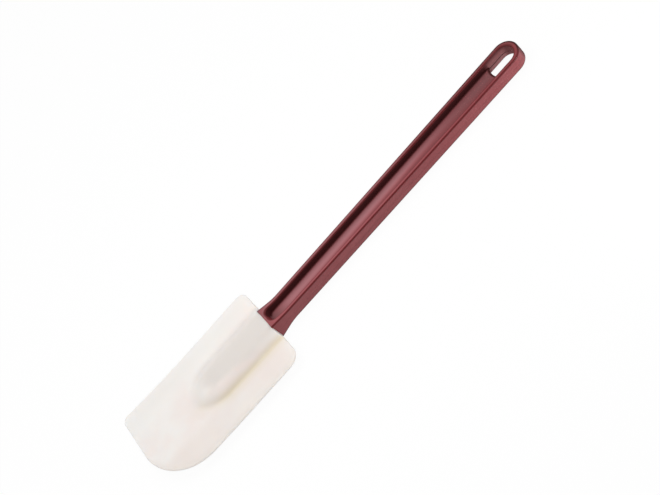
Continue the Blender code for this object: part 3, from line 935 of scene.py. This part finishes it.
class BladeForm:
    """The blade in nodes: a two-sided field of heights over its rounded plan."""

    def __init__(self, settings):
        # Every length of the blade is an input of the tree, under the name that its setting has
        sizes = {item.name: getattr(settings, item.identifier)
                 for item in settings.bl_rna.properties if item.unit == "LENGTH"}
        sizes.update({"Land Blend": 0.25, "Flank Power": 1.6, "Crowding": 0.9})
        self.shape = ShapeTree("silicone_blade", sizes, {"Rows": 180, "Columns": 150})
        read = self.read = self.shape.read
        self.mesh, self.along, across, self.side = self.shape.cushioned_grid("Rows", "Columns")
        self.half = read("Width") / 2.0
        self.from_near = self.along * read("Length")
        self.from_far = read("Length") - self.from_near
        right = self.half - corner_loss(self.from_near, read("Near Right Radius"))
        left = self.half - corner_loss(self.from_near, read("Near Left Radius"))
        self.right = right - corner_loss(self.from_far, read("Far Right Radius"))
        self.left = left - corner_loss(self.from_far, read("Far Left Radius"))
        self.column = (across + 1.0) / 2.0
        self.y = between(-self.right, self.left, self.column)
        self.beyond = larger(self.from_near - read("Boss Straight"), 0.0)
        self.towards_nose = step_up(self.from_near, 18.0 * MM, 50.0 * MM)
        self.leftward = step_up(self.y, -8.0 * MM, 2.0 * MM)

    def place_along(self):
        """How far along the scraper the points lie, with the hollow that the neck stands in."""
        read = self.read
        past_side = size_of(self.y) - read("Notch Width") / 2.0
        deeper = step_up(past_side, -3.2 * MM, -1.2 * MM)
        notch = between(read("Notch Depth"), read("Notch Side Depth"), deeper)
        notch = notch * step_down(past_side, 0.0, read("Notch Fade"))
        x = -between(notch, read("Length"), self.along)
        return x - read("Far Slant") * self.column * x / read("Length")

    def plate(self):
        """Half the plate's thickness, which is less towards its sides and its far end."""
        read = self.read
        to_side = smaller(smaller(self.y + self.right, self.left - self.y) / read("Side Taper"), 1.0)
        to_far = smaller(self.from_far / read("Far Taper"), 1.0)
        fullness = sine(to_side * (math.pi / 2)) * sine(to_far * (math.pi / 2))
        return between(read("Edge Thickness") / 2.0, read("Root Thickness") / 2.0, fullness)

    def boss(self):
        """Half the boss's thickness, flat on its land and falling over its flanks and its nose."""
        read = self.read
        across = self.y / (read("Boss Width") / 2.0)
        level = root(across ** 2.0 + (self.beyond / read("Boss Nose")) ** 2.0)
        land = read("Land Width") / read("Boss Width")
        slope = reckon("SMOOTH_MAX", level - land, 0.0, read("Land Blend")) / (1.0 - land)
        return read("Boss Thickness") / 2.0 * (1.0 - slope ** read("Flank Power"))

    def middle(self):
        """How far the plate's middle is curled up."""
        read = self.read
        return read("Curl") * (self.beyond / (read("Length") - read("Boss Straight"))) ** 2.0

    def rounded(self, half_height):
        """A half height with the plate's edges rounded off."""
        read = self.read
        edge = corner_room(read("Near Right Radius"), self.from_near, self.half + self.y)
        for radius, from_end, from_side in (
                ("Near Left Radius", self.from_near, self.half - self.y),
                ("Far Right Radius", self.from_far, self.half + self.y),
                ("Far Left Radius", self.from_far, self.half - self.y)):
            edge = smaller(edge, corner_room(read(radius), from_end, from_side))
        return half_height - corner_loss(larger(edge, 0.0), smaller(half_height, read("Mouth Round")))

    def grey_shade_share(self):
        """Painted shade where the dark tongue shows through, and the like painted grey shade along the
        plate's left side and edge.
        """
        y = self.y
        on_left = 1.0 - step_up(y, 5.5 * MM, 9.0 * MM) * 0.42 - step_up(y, 13.0 * MM, 21.0 * MM) * 0.58
        right_start = between(7.0 * MM, 5.0 * MM, self.towards_nose)
        right_end = between(14.0 * MM, 9.5 * MM, self.towards_nose)
        on_right = step_down(-y, right_start, right_end)
        tongue_end = between(20.0 * MM, 11.0 * MM, step_up(-y, -1.0 * MM, 6.0 * MM))
        cover = smaller(on_left, on_right) * step_down(self.beyond, 2.5 * MM, tongue_end)
        left_wing = step_up(y, 16.0 * MM, 31.0 * MM) * 0.2
        left_edge = step_down(self.left - y, 0.0, 3.5 * MM) * 0.4
        return larger(cover, larger(left_wing, left_edge))

    def foot_shade_share(self, rise):
        """Painted warm shade in the corner at the boss's right foot, from the boss's rise over the plate.
        """
        lowest = between(1.7 * MM, 0.9 * MM, self.towards_nose)
        line = step_down(size_of(rise + lowest), 0.3 * MM, 4.4 * MM)
        tail = smaller(step_down(-rise, 1.0 * MM, 12.0 * MM), -rise / (1.0 * MM))
        round_nose = 1.0 - step_up(self.beyond, 0.0, 17.0 * MM) * 0.65
        return larger(line, tail * 0.5) * round_nose * (1.0 - self.leftward)

    def right_side_shade_share(self):
        """Painted shade over the plate's right side, most along its edge."""
        at_edge = step_down(self.y + self.right, 0.0, 10.0 * MM)
        return larger(at_edge, step_up(-self.y, 13.0 * MM, 22.0 * MM) * 0.5)


def make_blade(settings, material):
    """The whole blade: the plate, the boss and the soft crease between them."""
    form = BladeForm(settings)
    shape, read = form.shape, form.read
    plate, boss, middle = form.plate(), form.boss(), form.middle()
    crease_round = between(read("Crease Round Right"), read("Crease Round Left"), form.leftward)
    front = reckon("SMOOTH_MAX", plate + middle, boss, crease_round)
    back = reckon("SMOOTH_MAX", plate - middle, boss, crease_round)
    half_height = (front + back) / 2.0
    # The shares are stored before the points move, because they are reckoned from the flat grid
    mesh = shape.painted(form.mesh, {
        "grey_shade": form.grey_shade_share(),
        "right_side_shade": form.right_side_shade_share(),
        "thickness": step_up(half_height, 0.9 * MM, 4.5 * MM),
        "foot": form.foot_shade_share(boss - (plate + middle)),
    })
    z = (front - back) / 2.0 + form.side * form.rounded(half_height)
    mesh = shape.moved(mesh, form.place_along(), form.y, z)
    shape.finish(mesh, material)
    return shape.grow("blade_silicone", bpy.data.meshes.new("blade_start"))


# Stage

FLOOR_REACH = 4.0
# The floor lies just below the scraper, so that their faces never meet
FLOOR_DROP = 0.05 * MM
# How much of the floor is plain white to the camera, so that a faint part of its shadow is left
FLOOR_WHITENESS = 0.96
OPENING_DIRECTION = (0.0, -0.95, 0.3)
CAMERA_PLACE = Vector((0.05011, -0.65679, 0.71068))
CAMERA_RIGHT = Vector((0.66616, -0.51991, -0.53472))
CAMERA_BACK = Vector((0.04959, -0.68450, 0.72732))


def rays(tree, kind):
    """1 for rays of one kind and 0 for others."""
    return output_of(tree, "ShaderNodeLightPath", output=kind)


def make_floor(settings):
    """A pale floor that keeps a faint shadow and is white to the camera."""
    mesh = bpy.data.meshes.new("floor")
    corners = [(-FLOOR_REACH, -FLOOR_REACH), (FLOOR_REACH, -FLOOR_REACH),
               (FLOOR_REACH, FLOOR_REACH), (-FLOOR_REACH, FLOOR_REACH)]
    mesh.from_pydata([(x, y, -FLOOR_DROP) for x, y in corners], [], [(0, 1, 2, 3)])
    floor = bpy.data.objects.new("floor", mesh)
    bpy.context.collection.objects.link(floor)
    material, tree, shader = shaded("floor_paint")
    shader.inputs["Base Color"].default_value = (*settings.floor_color, 1.0)
    shader.inputs["Roughness"].default_value = 0.9
    shader.inputs["Specular IOR Level"].default_value = 0.1
    glow = node_in(tree, "ShaderNodeEmission", {"Color": (1.0, 1.0, 1.0, 1.0), "Strength": 1.0})
    both = tree.nodes.new("ShaderNodeMixShader")
    seen = larger(rays(tree, "Is Camera Ray"), rays(tree, "Is Glossy Ray"))
    connect(tree, seen * FLOOR_WHITENESS, both.inputs[0])
    tree.links.new(shader.outputs[0], both.inputs[1])
    tree.links.new(glow.outputs[0], both.inputs[2])
    tree.links.new(both.outputs[0], tree.nodes["Material Output"].inputs["Surface"])
    mesh.materials.append(material)


def make_surround(settings):
    """A white tent all round with a dim opening at the front, plain white to the camera."""
    world = bpy.data.worlds.new("surround")
    bpy.context.scene.world = world
    world.use_nodes = True
    tree = world.node_tree
    direction = output_of(tree, "ShaderNodeTexCoord", output="Generated")
    to_opening = output_of(tree, "ShaderNodeVectorMath", {0: direction, 1: OPENING_DIRECTION},
                           "Value", operation="DOT_PRODUCT")
    dim = step_up(to_opening, 0.25, 0.7) * between(0.1, 1.0, rays(tree, "Is Glossy Ray"))
    overhead = step_up(axes_of(tree, direction)[2], 0.05, 0.75)
    lit = between(0.45, 1.0, overhead) * settings.surround
    background = tree.nodes["Background"]
    background.inputs["Color"].default_value = (1.0, 1.0, 1.0, 1.0)
    strength = between(between(lit, settings.opening, dim), 1.0, rays(tree, "Is Camera Ray"))
    connect(tree, strength, background.inputs["Strength"])


def make_lamp(name, place, target, width, height, power, mirrored=True):
    """A soft rectangular lamp, which polished surfaces mirror or not."""
    lamp = bpy.data.lights.new(name, "AREA")
    lamp.shape = "RECTANGLE"
    lamp.size = width
    lamp.size_y = height
    lamp.energy = power
    obj = bpy.data.objects.new(name, lamp)
    obj.location = place
    obj.rotation_euler = (Vector(target) - Vector(place)).to_track_quat("-Z", "Y").to_euler()
    obj.visible_camera = False
    obj.visible_glossy = mirrored
    bpy.context.collection.objects.link(obj)


def make_camera(settings):
    """The camera at the photograph's viewing angle."""
    camera = bpy.data.cameras.new("camera")
    camera.sensor_width = 36.0
    camera.lens = settings.focal_length
    camera.clip_start = 0.05
    obj = bpy.data.objects.new("camera", camera)
    turn = Matrix((CAMERA_RIGHT, CAMERA_BACK.cross(CAMERA_RIGHT), CAMERA_BACK)).transposed()
    obj.matrix_world = Matrix.Translation(CAMERA_PLACE) @ turn.to_4x4()
    bpy.context.collection.objects.link(obj)
    bpy.context.scene.camera = obj


# Operators


class SCRAPER_OT_handle(bpy.types.Operator):
    """Makes the nylon handle: rim, web, parting lines and tongue"""

    bl_idname = "scraper.handle"
    bl_label = "Make Handle"

    def execute(self, context):
        form = HandleForm(context.scene.scraper_handle)
        material = nylon(form)
        for piece in (make_rim(form, material), make_web(form, material),
                      make_parting_lines(form, material), make_tongue(form, material)):
            dressed(piece, "handle")
        return {"FINISHED"}


class SCRAPER_OT_blade(bpy.types.Operator):
    """Makes the silicone blade"""

    bl_idname = "scraper.blade"
    bl_label = "Make Blade"

    def execute(self, context):
        settings = context.scene.scraper_blade
        dressed(make_blade(settings, silicone(settings)), "blade")
        return {"FINISHED"}


class SCRAPER_OT_stage(bpy.types.Operator):
    """Makes the floor, the light and the camera"""

    bl_idname = "scraper.stage"
    bl_label = "Make Stage"

    def execute(self, context):
        settings = context.scene.scraper_stage
        context.scene.view_settings.view_transform = "Standard"
        make_floor(settings)
        make_surround(settings)
        make_lamp("key_lamp", place=(0.0, 0.05, 0.45), target=(0.0, 0.0, 0.0), width=0.4, height=0.3,
                  power=settings.key_power, mirrored=False)
        make_lamp("side_lamp", place=(0.24, -0.17, 0.03), target=(0.13, 0.0, 0.0), width=0.12, height=0.04,
                  power=settings.side_power)
        make_camera(settings)
        return {"FINISHED"}


class SCRAPER_PT_sidebar(bpy.types.Panel):
    """Lists the operators, each with its settings"""

    bl_label = "Plate Scraper"
    bl_idname = "SCRAPER_PT_sidebar"
    bl_space_type = "VIEW_3D"
    bl_region_type = "UI"
    bl_category = "Scraper"

    def draw(self, context):
        for operator, (name, group) in zip(OPERATORS, SETTINGS.items()):
            self.layout.operator(operator.bl_idname)
            for key in group.__annotations__:
                self.layout.prop(getattr(context.scene, name), key)


SETTINGS = {
    "scraper_handle": HandleSettings,
    "scraper_blade": BladeSettings,
    "scraper_stage": StageSettings,
}
OPERATORS = (SCRAPER_OT_handle, SCRAPER_OT_blade, SCRAPER_OT_stage)


def register():
    for name, group in SETTINGS.items():
        bpy.utils.register_class(group)
        setattr(bpy.types.Scene, name, bpy.props.PointerProperty(type=group))
    for kind in (*OPERATORS, SCRAPER_PT_sidebar):
        bpy.utils.register_class(kind)


def unregister():
    for kind in (SCRAPER_PT_sidebar, *OPERATORS[::-1]):
        bpy.utils.unregister_class(kind)
    for name, group in SETTINGS.items():
        delattr(bpy.types.Scene, name)
        bpy.utils.unregister_class(group)


def main():
    """Makes everything."""
    register()
    bpy.ops.scraper.stage()
    bpy.ops.scraper.handle()
    bpy.ops.scraper.blade()


if __name__ == "__main__":
    main()
